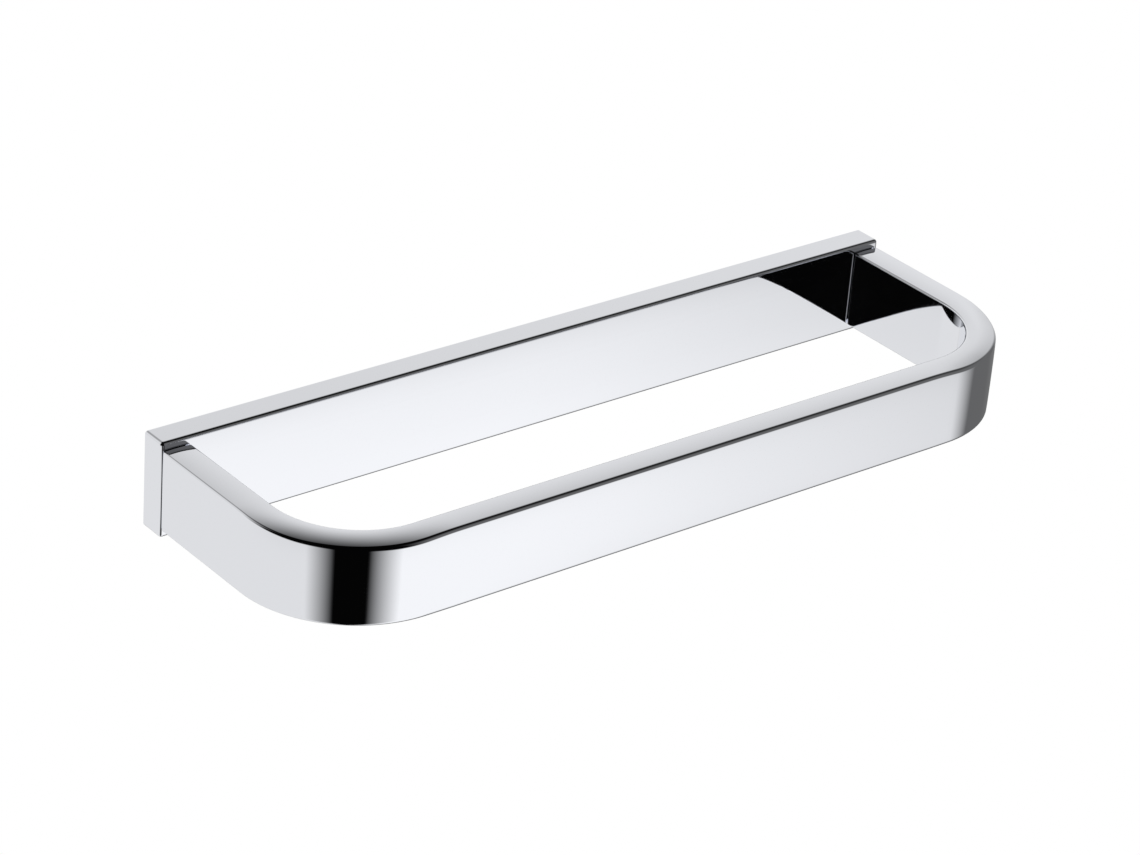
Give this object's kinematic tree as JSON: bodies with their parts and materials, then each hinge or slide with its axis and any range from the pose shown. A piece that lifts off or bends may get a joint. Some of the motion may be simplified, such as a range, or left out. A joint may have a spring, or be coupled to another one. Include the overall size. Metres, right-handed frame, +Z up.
{
  "type": "towel ring",
  "caption": "Fixed rectangular towel ring: a flat polished band bent into a U, screwed to a back rail that hides wall brackets held by grub screws.",
  "frame": {"origin": "middle of the back rail's wall face, on the wall's surface", "axes": "+X along the rail to the right as seen from the room, +Y into the wall, +Z up; the ring reaches into the room along -Y"},
  "size_m": [0.225, 0.072, 0.0254],
  "materials": {
    "rail_chrome": "polished chrome plate on brass",
    "ring_chrome": "polished chrome plate on brass",
    "ring_screw_steel": "plain stainless steel",
    "lock_washer_steel": "plain stainless spring steel",
    "bracket_zinc": "zinc-plated pressed sheet",
    "grub_steel": "plain stainless steel"
  },
  "bodies": {
    "wall_side": {"wall_bracket_left": "bracket_zinc", "wall_bracket_right": "bracket_zinc"},
    "fixture": {"back_rail": "rail_chrome", "towel_ring": "ring_chrome", "ring_screw_left_upper": "ring_screw_steel", "ring_screw_left_lower": "ring_screw_steel", "ring_screw_right_upper": "ring_screw_steel", "ring_screw_right_lower": "ring_screw_steel", "lock_washer_left_upper": "lock_washer_steel", "lock_washer_left_lower": "lock_washer_steel", "lock_washer_right_upper": "lock_washer_steel", "lock_washer_right_lower": "lock_washer_steel"},
    "grub_left": {"grub_screw_left": "grub_steel"},
    "grub_right": {"grub_screw_right": "grub_steel"}
  },
  "joints": [
    {"name": "lift_off", "type": "slide", "parent": "wall_side", "child": "fixture", "axis": [0, -1, 0], "range_m": [0, 0.02]},
    {"name": "grub_left_travel", "type": "slide", "parent": "fixture", "child": "grub_left", "axis": [0, 0, -1], "range_m": [0, 0.0028]},
    {"name": "grub_right_travel", "type": "slide", "parent": "fixture", "child": "grub_right", "axis": [0, 0, -1], "range_m": [0, 0.0028]}
  ]
}
